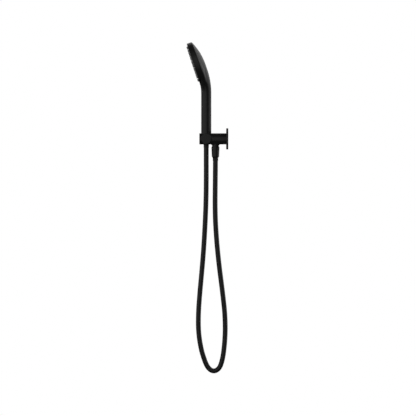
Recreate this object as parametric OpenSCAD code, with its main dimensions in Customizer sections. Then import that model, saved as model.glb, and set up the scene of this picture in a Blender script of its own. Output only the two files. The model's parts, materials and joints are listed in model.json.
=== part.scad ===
// Hand shower on a round wall bracket, with its hose.
// The origin is the centre of the wall flange's back face. +Z is up, the wall is the plane Y = 0,
// and everything in the room stands out from it along -Y.

/* [Wall flange] */
// Diameter of the round flange on the wall
flange_d = 60; // [54:1:70]
// Thickness of the flange
flange_t = 5.7; // [5.2:0.1:8]

/* [Bracket] */
// Diameter of the horizontal arm
arm_d = 31.5; // [31:0.1:33]
// Distance from the wall to the front end of the arm
arm_reach = 81.4; // [80:0.1:86]
// Diameter of the cross boss that holds the handset
boss_d = 29.2; // [28.6:0.1:30]
// Length of the cross boss, end to end
boss_len = 39; // [37:0.5:44]
// Distance from the wall to the handset's axis
seat_y = 62; // [61:0.2:64]
// Distance from the wall to the hose outlet's axis
outlet_y = 36; // [34:0.2:37]

/* [Handset] */
// Diameter of the handle
handle_d = 28.6; // [28:0.1:28.6]
// Diameter of the shower head
head_d = 120; // [110:1:130]
// Tilt of the spray face from the vertical, in degrees
head_tilt = 18.4; // [16:0.2:20]
// Height of the handle's lower end above the arm's axis
handle_z = 12; // [11.5:0.1:13]
// Height at which the handle starts to bend towards the head
bend_z = 129; // [115:1:140]
// Wall thickness of the plastic shell
shell_wall = 2.5; // [2:0.1:3]

/* [Spray face] */
// Number of rings of nozzles around the centre
nozzle_rings = 5; // [3:1:5]
// Distance between two rings of nozzles
nozzle_step = 10; // [9:0.5:10]
// How far the nozzles stand proud of the spray plate
nozzle_proud = 3.5; // [1:0.5:4]

/* [Hose] */
// Outer diameter of the hose
hose_d = 14; // [12:0.5:14.5]
// Number of sides of the hose's round section
hose_sides = 10; // [8:1:12]

/* [Colours] */
// Paint on the metal parts
paint = "#222224"; // ["#222224", "#3a3a3c", "#c8c8c8"]
// Moulded black plastic
black_plastic = "#2c2c2e"; // ["#2c2c2e", "#444446"]
// Rubber seals and washers
seal_black = "#151515"; // ["#151515", "#7a2a20"]
// Turned brass
brass = "#b08d4a"; // ["#b08d4a", "#c9c9c9"]
// Silicone nozzles
silicone = "#5a5a5c"; // ["#5a5a5c", "#8a8a8a"]
// White engineering plastic
white_plastic = "#d8d8d2"; // ["#d8d8d2", "#9fb4c8"]
// Stainless steel
steel = "#b9bcc0"; // ["#b9bcc0", "#8d9094"]

/* [Hidden] */

$fn = 96;
over = 1;            // how far a cutter reaches past a face
eps = 0.01;          // how far two joined solids overlap
slip = 0.05;         // radial gap of a fitted pair
play = 0.3;          // gap between pieces that move apart
skin = 0.02;         // gap between a seal and the faces it touches

// G1/2 pipe threads, drawn plain: outside ones at the major radius, the inlet at the minor radius
thread_r = 10.48;
thread_bore_r = thread_r + slip;
inlet_r = 9.32;

// Bracket
arm_r = arm_d / 2;
arm_edge = 1.6;
boss_edge = 0.8;
flange_edge = 1.5;
insert_r = 11.8;
insert_len = 20;
end_room = 0.5;      // gap past the inner end of a piece in its blind socket
waterway_r = 6.5;
grub_y = 4;
grub_r = 2;

// Cone on which the handset nut sits
nut_top_r = 11.4;
nut_bottom_r = 10.2;
nut_bottom_z = -16;
liner_wall = 1.5;

// Outlet
outlet_neck_r = 9.5;
outlet_neck_z = -20;
outlet_flare = 3.7;
outlet_flare_h = 4.4;
shank_r = 8;
shank_top_z = -9;
outlet_thread_z = -21.5;
outlet_thread_end_z = -34;
outlet_nut_top_z = -23;
outlet_nut_end_z = -52.7;
outlet_ferrule_end_z = -62;
outlet_bore_r = 6.3;
cartridge_r = 7.9;
cartridge_top_z = -11;
cartridge_end_z = -33.6;
spider_z = -31;
washer_t = 2;
washer_r = 9.3;
hose_bore_r = 5.5;
stem_flange_t = 2.5;

// Handset end of the hose
ferrule_r = 7.55;
ferrule_end_z = -25;
connector_end_z = 1;
filter_end_z = connector_end_z - washer_t;

// Shower head, in its own frame: +Z points out of its back, +Y down its face towards the handle
head_r = head_d / 2;
band_from = 3.2;     // the shell starts behind the face ring
rim_mid = 16.25;     // height of the shell's rim above the face, half way down
rim_lean = 1.67;     // the rim rises towards the handle by this many degrees
dome_rise = 14.3;
dome_r = (head_r * head_r + dome_rise * dome_rise) / (2 * dome_rise);
dome_drop = dome_r - dome_rise;
handle_r = handle_d / 2;
handle_inner_r = handle_r - shell_wall;
bend_r = 190;
neck_w = 18.3;       // height of the neck's axis above the face
neck_end_y = 8;
elbow_y = 44.7;      // where the second elbow lies on the head's own Y axis
elbow_turn = head_tilt / 2;
elbow_reach = bend_r * tan(head_tilt / 4);
elbow_1_z = bend_z + elbow_reach;
elbow_2_y = -seat_y - 2 * elbow_reach * sin(elbow_turn);
elbow_2_z = elbow_1_z + 2 * elbow_reach * cos(elbow_turn);
head_y = elbow_2_y - elbow_y * sin(head_tilt) - neck_w * cos(head_tilt);
head_z = elbow_2_z + elbow_y * cos(head_tilt) - neck_w * sin(head_tilt);
plate_r = 55.5;
plate_t = 2.5;
mat_t = 2;
mat_r = 54.5;
mat_hole_r = 5.6;
nozzle_twist = 6.5;  // ring n is turned by n times this, so that the nozzles spread evenly over the height
nozzle_tip_r = 1.3;
nozzle_base_r = 1.9;
distributor_w = 6.5;
distributor_t = 2;
distributor_r = 50;
post_r = 44;         // circle of the four shell posts
shell_post_r = 3.4;
post_top = 21;
post_hole_top = 19;
screw_r = 1.25;
screw_hole_r = screw_r + slip;
cap_r = 5;
cap_t = 1.6;
cap_proud = 0.3;
ring_t = 3;
ring_edge = 1.2;
ring_skirt = 7;      // the face ring's skirt reaches this far behind the face

// ---------------------------------------------------------------- frames and plain shapes

// +Z of the child points out from the wall
module from_wall() {
    rotate([90, 0, 0]) children();
}

// The child stands on the handset's axis
module on_seat() {
    translate([0, -seat_y, 0]) children();
}

// The child stands on the outlet's axis
module on_outlet() {
    translate([0, -outlet_y, 0]) children();
}

// The child stands in the shower head's frame
module on_head() {
    translate([0, head_y, head_z]) rotate([head_tilt - 90, 0, 0]) children();
}

// A cylinder from height a to height b
module rod(r, a, b) {
    translate([0, 0, a]) cylinder(r = r, h = b - a);
}

// A cone from height a to height b
module cone(r_a, r_b, a, b) {
    translate([0, 0, a]) cylinder(r1 = r_a, r2 = r_b, h = b - a);
}

// A tube from height a to height b
module sleeve(r_out, r_in, a, b) {
    difference() {
        rod(r_out, a, b);
        rod(r_in, a - over, b + over);
    }
}

// Cutter for a groove of width w in a shaft of radius r, centred at height z
module groove(r, depth, z, w) {
    sleeve(r + over, r - depth, z - w / 2, z + w / 2);
}

// Seal that lies in such a groove, h high
module band_seal(r, depth, z, h) {
    sleeve(r + skin, r - depth + skin, z - h / 2, z + h / 2);
}

// A round ring seal of section radius r on a circle of radius big_r
module ring_seal(big_r, r, z) {
    translate([0, 0, z]) rotate_extrude() translate([big_r, 0]) circle(r = r, $fn = 32);
}

// A disc from height 0 to t whose top edge is rounded by e
module round_disc(r, t, e) {
    rotate_extrude() {
        square([r - e, t]);
        square([r, t - e]);
        translate([r - e, t - e]) circle(r = e, $fn = 48);
    }
}

// Copies the child n times around Z
module around(n, start = 0) {
    for (i = [0 : n - 1]) rotate([0, 0, start + 360 * i / n]) children();
}

// ---------------------------------------------------------------- wall flange and inlet

flange_oring_y = 3.4;
flange_oring_r = 1.3;
gasket_in = 21;
gasket_out = 27;
gasket_t = 1.2;

module wall_flange() {
    color(paint) from_wall() difference() {
        round_disc(flange_d / 2, flange_t, flange_edge);
        rod(arm_r + 2 * slip, -over, flange_t + over);
        sleeve(gasket_out + slip, gasket_in - slip, -over, gasket_t);
        ring_seal(arm_r + flange_oring_r, flange_oring_r + slip, flange_oring_y);
    }
}

module flange_gasket() {
    color(seal_black) from_wall() sleeve(gasket_out, gasket_in, 0, gasket_t);
}

module flange_oring() {
    color(seal_black) from_wall() difference() {
        ring_seal(arm_r + flange_oring_r, flange_oring_r, flange_oring_y);
        rod(arm_r + skin, -over, flange_t);
    }
}

inlet_len = 12.4;
inlet_seal_at = [10, 16];
inlet_seal_h = 1.8;
seal_groove_depth = 1.3;
seal_groove_w = 2.4;
strainer_r = 9.5;
strainer_t = 1.5;
grub_groove_w = 3.9;
grub_groove_depth = 0.8;

// Brass insert of the inlet: threaded from behind, with a seat for the strainer at its bottom
module inlet_insert() {
    color(brass) from_wall() difference() {
        rod(insert_r, 0, insert_len);
        rod(waterway_r - 1, -over, insert_len + over);
        rod(inlet_r, -over, inlet_len + eps);
        rod(strainer_r + slip, inlet_len, inlet_len + strainer_t + slip);
        for (at = inlet_seal_at) groove(insert_r, seal_groove_depth, at, seal_groove_w);
        // groove that the grub screw bites into
        groove(insert_r, grub_groove_depth, grub_y, grub_groove_w);
    }
}

module inlet_orings() {
    color(seal_black) from_wall() for (at = inlet_seal_at) {
        band_seal(insert_r, seal_groove_depth, at, inlet_seal_h);
    }
}

strainer_hole_r = 0.9;

module inlet_strainer() {
    color(steel) from_wall() translate([0, 0, inlet_len]) difference() {
        rod(strainer_r, 0, strainer_t);
        rod(strainer_hole_r, -over, strainer_t + over);
        around(6) translate([2.8, 0, 0]) rod(strainer_hole_r, -over, strainer_t + over);
        around(12) translate([4.9, 0, 0]) rod(strainer_hole_r, -over, strainer_t + over);
    }
}

grub_top = insert_r - 0.7;
grub_end = arm_r - 0.5;
grub_point = 1;
grub_key_r = 1.15;
grub_key_depth = 2.2;

module grub_screw() {
    color(steel) translate([0, -grub_y, 0]) mirror([0, 0, 1]) difference() {
        union() {
            rod(grub_r, grub_top + grub_point, grub_end);
            cone(grub_r - grub_point, grub_r, grub_top, grub_top + grub_point + eps);
        }
        translate([0, 0, grub_end - grub_key_depth])
            cylinder(r = grub_key_r, h = grub_key_depth + over, $fn = 6);
    }
}

// ---------------------------------------------------------------- bracket

liner_top_z = handle_z - play;
liner_bottom_z = nut_bottom_z + 0.6;
pocket_r = handle_r + play;

// Radius of the handset nut at height z
function seat_r(z) = nut_bottom_r
    + (nut_top_r - nut_bottom_r) * (z - nut_bottom_z) / (handle_z - nut_bottom_z);

// The handset nut's cone, grown by a margin, from height a to height b
module seat_cone(margin, a, b) {
    cone(seat_r(a) + margin, seat_r(b) + margin, a, b);
}

// Solid of the arm's front end: a cylinder with a rounded edge
module arm_bar() {
    from_wall() round_disc(arm_r, arm_reach, arm_edge);
}

// Solid of the cross boss: a cylinder along X with both edges rounded
module cross_boss() {
    on_seat() rotate([0, 90, 0]) {
        round_disc(boss_d / 2, boss_len / 2, boss_edge);
        mirror([0, 0, 1]) round_disc(boss_d / 2, boss_len / 2, boss_edge);
    }
}

// Neck under the arm, flared into it
module outlet_neck() {
    on_outlet() {
        rod(outlet_neck_r, outlet_neck_z, -arm_r / 2);
        cone(outlet_neck_r, outlet_neck_r + outlet_flare, outlet_neck_z, outlet_neck_z + outlet_flare_h);
    }
}

module bracket_arm() {
    color(paint) difference() {
        union() {
            arm_bar();
            cross_boss();
            outlet_neck();
        }
        // socket for the inlet's insert, and the waterway from it to the outlet
        from_wall() rod(insert_r + slip, -over, insert_len + end_room);
        from_wall() rod(waterway_r, insert_len, outlet_y + waterway_r);
        on_outlet() rod(shank_r + slip, outlet_neck_z - over, shank_top_z);
        on_outlet() rod(waterway_r, shank_top_z - over, 0);
        // grub screw hole
        translate([0, -grub_y, 0]) rod(grub_r + slip, -arm_r - over, 0);
        // pocket for the handle's end, and the cone for the liner
        on_seat() rod(pocket_r, liner_top_z, arm_r + over);
        on_seat() seat_cone(play + liner_wall + slip, -arm_r - over, handle_z);
    }
}

module seat_liner() {
    color(black_plastic) on_seat() difference() {
        seat_cone(play + liner_wall, liner_bottom_z, liner_top_z);
        seat_cone(play, liner_bottom_z - over, liner_top_z + over);
    }
}

// ---------------------------------------------------------------- outlet and check valve

outlet_seal_z = -13;
outlet_seal_depth = 1;
outlet_seal_w = 2;
outlet_seal_h = 1.6;

module outlet_nipple() {
    color(paint) on_outlet() difference() {
        union() {
            rod(shank_r, outlet_neck_z, shank_top_z - end_room);
            rod(outlet_neck_r, outlet_thread_z, outlet_neck_z);
            rod(thread_r, outlet_thread_end_z, outlet_thread_z);
        }
        rod(outlet_bore_r, outlet_thread_end_z - over, 0);
        rod(cartridge_r + slip, outlet_thread_end_z - over, outlet_thread_z);
        groove(shank_r, outlet_seal_depth, outlet_seal_z, outlet_seal_w);
    }
}

module outlet_oring() {
    color(seal_black) on_outlet() band_seal(shank_r, outlet_seal_depth, outlet_seal_z, outlet_seal_h);
}

poppet_r = 4.4;
poppet_z = -17.2;
poppet_t = 1.7;
poppet_tip_r = 1.5;
poppet_tip_h = 1.4;
poppet_groove_z = poppet_z + 0.9;
poppet_groove_w = 0.8;
poppet_groove_depth = 0.7;
poppet_seal_lip = 0.3;
valve_seat_r = 3.6;
valve_seat_z = -15.4;
valve_seat_h = 1.7;
valve_cavity_r = 5.3;
guide_r = 1.2;
spider_hole_r = 1.3;
spider_hole_at = 3.5;
cartridge_step = 0.2;
cartridge_seal_z = -26.2;
cartridge_seal_depth = 1.1;
cartridge_seal_w = 2;
cartridge_seal_h = 1.6;

module check_valve_housing() {
    color(white_plastic) on_outlet() difference() {
        union() {
            rod(cartridge_r, cartridge_end_z, outlet_thread_z - cartridge_step);
            rod(outlet_bore_r - slip, outlet_thread_z - cartridge_step - eps, cartridge_top_z);
        }
        rod(valve_seat_r, valve_seat_z - over, cartridge_top_z + over);
        cone(valve_cavity_r, valve_seat_r, valve_seat_z, valve_seat_z + valve_seat_h);
        rod(valve_cavity_r, spider_z, valve_seat_z + eps);
        rod(guide_r + slip, cartridge_end_z - over, spider_z + over);
        around(4, 45) translate([spider_hole_at, 0, 0])
            rod(spider_hole_r, cartridge_end_z - over, spider_z + over);
        groove(cartridge_r, cartridge_seal_depth, cartridge_seal_z, cartridge_seal_w);
    }
}

module check_valve_oring() {
    color(seal_black) on_outlet()
        band_seal(cartridge_r, cartridge_seal_depth, cartridge_seal_z, cartridge_seal_h);
}

module check_valve_poppet() {
    top = poppet_z + poppet_t;
    color(white_plastic) on_outlet() difference() {
        union() {
            rod(poppet_r, poppet_z, top);
            cone(poppet_r - 1, poppet_tip_r, top - eps, top + poppet_tip_h);
            rod(guide_r, cartridge_end_z + 1, poppet_z + eps);
        }
        groove(poppet_r, poppet_groove_depth, poppet_groove_z, poppet_groove_w);
    }
}

module check_valve_seal() {
    half = poppet_groove_w / 2 - skin;
    color(seal_black) on_outlet() sleeve(
        poppet_r + poppet_seal_lip, poppet_r - poppet_groove_depth + skin,
        poppet_groove_z - half, poppet_groove_z + half
    );
}

// Coil spring between the poppet's head and the housing's floor
spring_r = 3;
spring_wire = 0.4;
spring_turns = 6;
spring_steps = 12;
spring_sides = 6;
spring_low = spider_z + spring_wire + 0.05;
spring_high = poppet_z - spring_wire - 0.05;

function spring_point(i, k) =
    let (n = spring_turns * spring_steps,
         turn = 360 * i / spring_steps,
         side = 360 * k / spring_sides,
         out = spring_r + spring_wire * cos(side),
         z = spring_low + (spring_high - spring_low) * i / n)
    [out * cos(turn), out * sin(turn), z + spring_wire * sin(side)];

module check_valve_spring() {
    n = spring_turns * spring_steps;
    color(steel) on_outlet() swept([
        for (i = [0 : n]) [for (k = [0 : spring_sides - 1]) spring_point(i, k)]
    ]);
}

// A closed solid through rings of points, each ring seen anticlockwise from ahead
module swept(rings) {
    m = len(rings[0]);
    last = len(rings) - 1;
    polyhedron(
        points = [for (ring = rings) each ring],
        faces = concat(
            [[for (k = [0 : m - 1]) k]],
            [for (i = [0 : last - 1], k = [0 : m - 1])
                [i * m + k, (i + 1) * m + k, (i + 1) * m + (k + 1) % m, i * m + (k + 1) % m]],
            [[for (k = [m - 1 : -1 : 0]) last * m + k]]
        )
    );
}

module outlet_washer() {
    color(seal_black) on_outlet()
        sleeve(washer_r, hose_bore_r, outlet_thread_end_z - washer_t, outlet_thread_end_z);
}

nut_rim = 0.5;

// Conical hose nut: a shell with a threaded bore, a shoulder, and a hole for the ferrule
module hose_nut(r_top, r_end, top_z, end_z, shoulder_z, hole_r, chamfer, end_chamfer_r) {
    difference() {
        union() {
            cone(r_top, r_top - nut_rim, top_z - nut_rim, top_z);
            cone(r_end, r_top, end_z + chamfer, top_z - nut_rim);
            cone(end_chamfer_r, r_end, end_z, end_z + chamfer);
        }
        rod(thread_bore_r, shoulder_z, top_z + over);
        rod(hole_r, end_z - over, shoulder_z + over);
    }
}

outlet_flange_z = outlet_thread_end_z - washer_t - stem_flange_t;
outlet_shoulder_z = outlet_flange_z - 0.2;
outlet_ferrule_top_z = outlet_flange_z - 2;
outlet_ferrule_r = 7.75;
outlet_nut_r = 10.25;
outlet_nut_chamfer = 2.5;
outlet_nut_end_r = 8.4;
stem_bore_r = hose_bore_r - 1.2;

module outlet_nut() {
    color(paint) on_outlet() hose_nut(
        nut_top_r, outlet_nut_r, outlet_nut_top_z, outlet_nut_end_z, outlet_shoulder_z,
        outlet_ferrule_r + slip, outlet_nut_chamfer, outlet_nut_end_r
    );
}

module outlet_stem() {
    color(brass) on_outlet() difference() {
        union() {
            rod(washer_r, outlet_flange_z, outlet_flange_z + stem_flange_t);
            rod(hose_bore_r, outlet_ferrule_end_z, outlet_flange_z + eps);
        }
        rod(stem_bore_r, outlet_ferrule_end_z - over, outlet_flange_z + stem_flange_t + over);
    }
}

module outlet_ferrule() {
    color(paint) on_outlet()
        sleeve(outlet_ferrule_r, hose_bore_r + slip, outlet_ferrule_end_z, outlet_ferrule_top_z);
}

// ---------------------------------------------------------------- hose

// Route of the hose's centre line, from the handset's ferrule round the loop to the outlet's
hose_route = [
    [-62, -25], [-62, -60], [-62, -120], [-63, -185], [-66, -255], [-70, -320], [-75, -380],
    [-80, -435], [-83.5, -485], [-84, -530], [-81, -565], [-75, -597], [-69, -617], [-64, -631],
    [-58, -643], [-50, -651.5], [-40.5, -655], [-31, -651.5], [-23.5, -643], [-19, -631],
    [-15.5, -617], [-12.5, -597], [-9.5, -565], [-8.5, -530], [-10, -490], [-13.5, -455],
    [-18, -417], [-24, -370], [-29, -325], [-33, -280], [-36, -230], [-37, -180], [-36.5, -120],
    [-36, -62]
];
hose_cuts = 2;       // rings along each stretch of the route

// A point of the smooth curve through the route, at t from 0 to 1 along stretch i
function route_at(i) = hose_route[max(0, min(len(hose_route) - 1, i))];
function curve_at(i, t) =
    let (a = route_at(i - 1), b = route_at(i), c = route_at(i + 1), d = route_at(i + 2))
    0.5 * (2 * b + (c - a) * t + (2 * a - 5 * b + 4 * c - d) * t * t
        + (3 * b - a - 3 * c + d) * t * t * t);
function slope_at(i, t) =
    let (a = route_at(i - 1), b = route_at(i), c = route_at(i + 1), d = route_at(i + 2))
    0.5 * ((c - a) + (4 * a - 10 * b + 8 * c - 2 * d) * t + (9 * b - 3 * a - 9 * c + 3 * d) * t * t);

// A ring of the hose around point p, square to the direction s. Both ends leave straight down.
function hose_ring(p, s) =
    let (r = hose_d / 2, u = s / norm(s))
    [for (k = [0 : hose_sides - 1])
        let (side = 360 * k / hose_sides)
        [r * cos(side), p[0] + r * sin(side) * u[1], p[1] - r * sin(side) * u[0]]];

module hose() {
    last = len(hose_route) - 1;
    color(paint) swept(concat(
        [hose_ring(hose_route[0], [0, -1])],
        [for (i = [0 : last - 1], j = [0 : hose_cuts - 1])
            if (i + j > 0) hose_ring(curve_at(i, j / hose_cuts), slope_at(i, j / hose_cuts))],
        [hose_ring(hose_route[last], [0, 1])]
    ));
}

// ---------------------------------------------------------------- handset end of the hose

stem_top_z = filter_end_z - slip;
stem_flange_z = stem_top_z - stem_flange_t;
swivel_t = 0.8;
nut_chamfer = 1.2;
nut_end_r = 9.2;
nut_hole_r = ferrule_r + 0.08;
swivel_z = stem_flange_z - swivel_t;
ferrule_top_z = swivel_z - 2;

module handset_stem() {
    color(brass) on_seat() difference() {
        union() {
            rod(washer_r, stem_flange_z, stem_top_z);
            rod(hose_bore_r, ferrule_end_z, stem_flange_z + eps);
        }
        rod(stem_bore_r, ferrule_end_z - over, stem_top_z + over);
    }
}

module swivel_ring() {
    color(white_plastic) on_seat() sleeve(washer_r - 0.2, hose_bore_r + slip, swivel_z, stem_flange_z);
}

module handset_ferrule() {
    color(paint) on_seat() sleeve(ferrule_r, hose_bore_r + slip, ferrule_end_z, ferrule_top_z);
}

// ---------------------------------------------------------------- handset

module handset_nut() {
    color(paint) on_seat() hose_nut(
        nut_top_r, nut_bottom_r, handle_z - 2 * slip, nut_bottom_z, swivel_z - slip,
        nut_hole_r, nut_chamfer, nut_end_r
    );
}

filter_recess = 0.7;
filter_hole_r = 0.75;

module filter_washer() {
    color(seal_black) on_seat() difference() {
        rod(washer_r, filter_end_z, connector_end_z);
        rod(hose_bore_r, filter_end_z - over, filter_end_z + filter_recess);
        rod(hose_bore_r, connector_end_z - filter_recess, connector_end_z + over);
        rod(filter_hole_r, filter_end_z - over, connector_end_z + over);
        around(6) translate([2.4, 0, 0]) rod(filter_hole_r, filter_end_z - over, connector_end_z + over);
        around(10) translate([4.4, 0, 0]) rod(filter_hole_r, filter_end_z - over, connector_end_z + over);
    }
}

regulator_r = 6;
regulator_t = 4;
regulator_hole_r = 0.9;

module flow_regulator() {
    color(white_plastic) on_seat() difference() {
        rod(regulator_r, connector_end_z, connector_end_z + regulator_t);
        around(6) translate([3.6, 0, 0])
            rod(regulator_hole_r, connector_end_z - over, connector_end_z + regulator_t + over);
        rod(regulator_hole_r, connector_end_z - over, connector_end_z + regulator_t + over);
    }
}

connector_r = handle_inner_r - slip;
connector_top_z = 46;
connector_seal_z = [18, 24];
connector_seal_depth = 1.3;
connector_seal_w = 2.4;
connector_seal_h = 2;
connector_step_z = 32;
connector_neck_r = 8;
tube_r = 5;
tube_bore_r = 3.8;
tube_low_z = 38;

module inlet_connector() {
    color(brass) on_seat() difference() {
        union() {
            rod(thread_r, connector_end_z, handle_z + eps);
            rod(connector_r, handle_z, connector_step_z);
            rod(connector_neck_r, connector_step_z - eps, connector_top_z);
        }
        rod(regulator_r + slip, connector_end_z - over, connector_end_z + regulator_t + play);
        rod(tube_bore_r, connector_end_z - over, connector_top_z + over);
        rod(tube_r + slip, tube_low_z, connector_top_z + over);
        for (z = connector_seal_z) groove(connector_r, connector_seal_depth, z, connector_seal_w);
    }
}

module connector_orings() {
    color(seal_black) on_seat() for (z = connector_seal_z) {
        band_seal(connector_r, connector_seal_depth, z, connector_seal_h);
    }
}

// Solid of radius r along the handle: straight up, then two shallow elbows into the head
module handle_bar(r, low) {
    neck_len = elbow_y - neck_end_y;
    on_seat() {
        rod(r, low, elbow_1_z);
        translate([0, 0, elbow_1_z]) {
            sphere(r = r);
            rotate([elbow_turn, 0, 0]) {
                rod(r, 0, 2 * elbow_reach);
                translate([0, 0, 2 * elbow_reach]) {
                    sphere(r = r);
                    rotate([elbow_turn, 0, 0]) {
                        rod(r, 0, neck_len);
                        translate([0, 0, neck_len]) sphere(r = r);
                    }
                }
            }
        }
    }
}

// Head body: a round band closed by a shallow dome that leans towards the handle.
// A margin shrinks it all round for the inside.
module head_body(margin, low) {
    on_head() intersection() {
        rod(head_r - margin, low, head_r);
        translate([0, dome_drop * sin(rim_lean), rim_mid - dome_drop * cos(rim_lean)])
            sphere(r = dome_r - margin);
    }
}

module at_posts() {
    on_head() around(4, 45) translate([post_r, 0, 0]) children();
}

module handset_shell() {
    color(black_plastic) difference() {
        union() {
            difference() {
                union() {
                    handle_bar(handle_r, handle_z);
                    head_body(0, band_from);
                }
                handle_bar(handle_inner_r, handle_z - over);
                head_body(shell_wall, -over);
                // the neck leaves the face ring's place free
                on_head() rod(head_r + 4 * slip, -head_r / 2, band_from);
            }
            at_posts() rod(shell_post_r, distributor_w + distributor_t, post_top);
        }
        at_posts() rod(screw_hole_r, 0, post_hole_top);
    }
}

tube_end_y = elbow_y - elbow_reach;
tube_seal_r = 0.85;
port_depth = 5;
port_r = 7.5;
hub_r = 14;
hub_wall = 2.5;
hub_top = neck_w + 8;
screw_post_r = 4.5;
screw_post_top = 12.5;
centre_screw_r = 2;
centre_screw_top = 11.4;
centre_head_r = 3.6;
centre_head_w = [1.6, 3.5];

// Bent tube up the handle and into the port behind the spray face
module water_tube() {
    color(white_plastic) {
        on_seat() sleeve(tube_r, tube_bore_r, tube_low_z + play, bend_z);
        translate([0, -seat_y - bend_r, bend_z]) rotate([0, 90, 0]) rotate([0, 0, 90])
            rotate_extrude(angle = head_tilt) translate([bend_r, 0]) difference() {
                circle(r = tube_r);
                circle(r = tube_bore_r);
            }
    }
}

module tube_orings() {
    color(seal_black) {
        on_seat() ring_seal(tube_r + tube_seal_r + slip, tube_seal_r, connector_top_z + tube_seal_r + slip);
        on_head() translate([0, tube_end_y + port_depth + tube_seal_r + play, neck_w]) rotate([-90, 0, 0])
            ring_seal(tube_r + tube_seal_r + play, tube_seal_r, 0);
    }
}

// Round plate with a raised hub whose port takes the water tube
module water_distributor() {
    color(white_plastic) difference() {
        on_head() distributor_body();
        at_posts() rod(screw_r + 9 * slip, 0, distributor_w + distributor_t + over);
    }
}

module distributor_body() {
    floor_w = distributor_w + distributor_t;
    difference() {
        union() {
            difference() {
                union() {
                    rod(distributor_r, distributor_w, floor_w);
                    rod(hub_r, distributor_w, hub_top);
                    translate([0, 0, neck_w]) rotate([-90, 0, 0]) rod(port_r, 0, tube_end_y + port_depth);
                }
                rod(hub_r - hub_wall, floor_w, hub_top - 2);
            }
            rod(screw_post_r, floor_w - eps, screw_post_top);
        }
        rod(centre_screw_r + slip, distributor_w - over, centre_screw_top + 0.2);
        translate([0, 0, neck_w]) rotate([-90, 0, 0]) {
            rod(tube_r + 3 * slip, tube_end_y - play, tube_end_y + port_depth + over);
            rod(tube_bore_r, hub_r / 2, tube_end_y);
        }
        around(8, 22.5) translate([8, 0, 0]) rod(1.6, distributor_w - over, floor_w + over);
    }
}

module chamber_seal() {
    color(seal_black) on_head() sleeve(mat_r, mat_r - 2.5, plate_t + mat_t + 2 * slip, ring_skirt);
}

screw_head_r = 2.9;
screw_head_h = 1.9;
screw_slot = [3.6, 0.8, 0.7];

module distributor_screws() {
    color(steel) at_posts() difference() {
        union() {
            rod(screw_r, distributor_w - slip - eps, post_hole_top - 2);
            rod(screw_head_r, distributor_w - screw_head_h, distributor_w - slip);
        }
        translate([-screw_slot[0] / 2, -screw_slot[1] / 2, distributor_w - screw_head_h - over])
            cube([screw_slot[0], screw_slot[1], over + screw_slot[2]]);
    }
}

// Every nozzle's place on the face: ring n has 6 n of them
module at_nozzles() {
    for (n = [1 : nozzle_rings]) around(6 * n, nozzle_twist * n) translate([nozzle_step * n, 0, 0]) children();
}

module nozzle_mat() {
    color(silicone) on_head() difference() {
        union() {
            rod(mat_r, plate_t + slip, plate_t + mat_t);
            at_nozzles() cone(nozzle_tip_r, nozzle_base_r, -nozzle_proud, plate_t + 2 * slip);
        }
        rod(mat_hole_r, plate_t - over, plate_t + mat_t + over);
    }
}

module spray_plate() {
    color(black_plastic) on_head() difference() {
        union() {
            rod(plate_r, 0, plate_t);
            rod(mat_hole_r - 4 * slip, plate_t - eps, distributor_w - slip);
        }
        at_nozzles() rod(nozzle_base_r + 2 * slip, -over, plate_t + over);
        // seat of the cap, recess of the screw's head, and the screw's hole
        rod(cap_r + 2 * slip, -over, cap_t - cap_proud);
        rod(centre_head_r + 4 * slip, -over, centre_head_w[1]);
        rod(centre_screw_r + 2 * slip, -over, distributor_w + over);
    }
}

module face_ring() {
    color(black_plastic) on_head() difference() {
        union() {
            translate([0, 0, ring_t]) mirror([0, 0, 1]) round_disc(head_r, ring_t, ring_edge);
            rod(head_r - shell_wall - 2 * slip, ring_t - eps, ring_skirt);
        }
        rod(plate_r + slip, -over, ring_skirt + over);
    }
}

module centre_screw() {
    color(steel) on_head() difference() {
        union() {
            rod(centre_screw_r, centre_head_w[1] - slip - eps, centre_screw_top);
            rod(centre_head_r, centre_head_w[0], centre_head_w[1] - slip);
        }
        translate([-screw_slot[0] / 2, -screw_slot[1] / 2, centre_head_w[0] - over])
            cube([screw_slot[0], screw_slot[1], over + screw_slot[2]]);
    }
}

cap_edge = 0.5;

module centre_cap() {
    color(black_plastic) on_head() translate([0, 0, cap_t - cap_proud]) mirror([0, 0, 1])
        round_disc(cap_r, cap_t, cap_edge);
}

wall_flange();
flange_gasket();
flange_oring();
inlet_insert();
inlet_orings();
inlet_strainer();
grub_screw();
bracket_arm();
seat_liner();
outlet_nipple();
outlet_oring();
check_valve_housing();
check_valve_oring();
check_valve_poppet();
check_valve_seal();
check_valve_spring();
outlet_washer();
outlet_nut();
outlet_stem();
outlet_ferrule();
hose();
handset_ferrule();
handset_stem();
swivel_ring();
handset_nut();
filter_washer();
flow_regulator();
inlet_connector();
connector_orings();
handset_shell();
water_tube();
tube_orings();
water_distributor();
chamber_seal();
distributor_screws();
nozzle_mat();
spray_plate();
face_ring();
centre_screw();
centre_cap();
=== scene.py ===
"""Looks of the hand shower on its wall bracket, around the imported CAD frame.
"""
import json
import math

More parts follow.
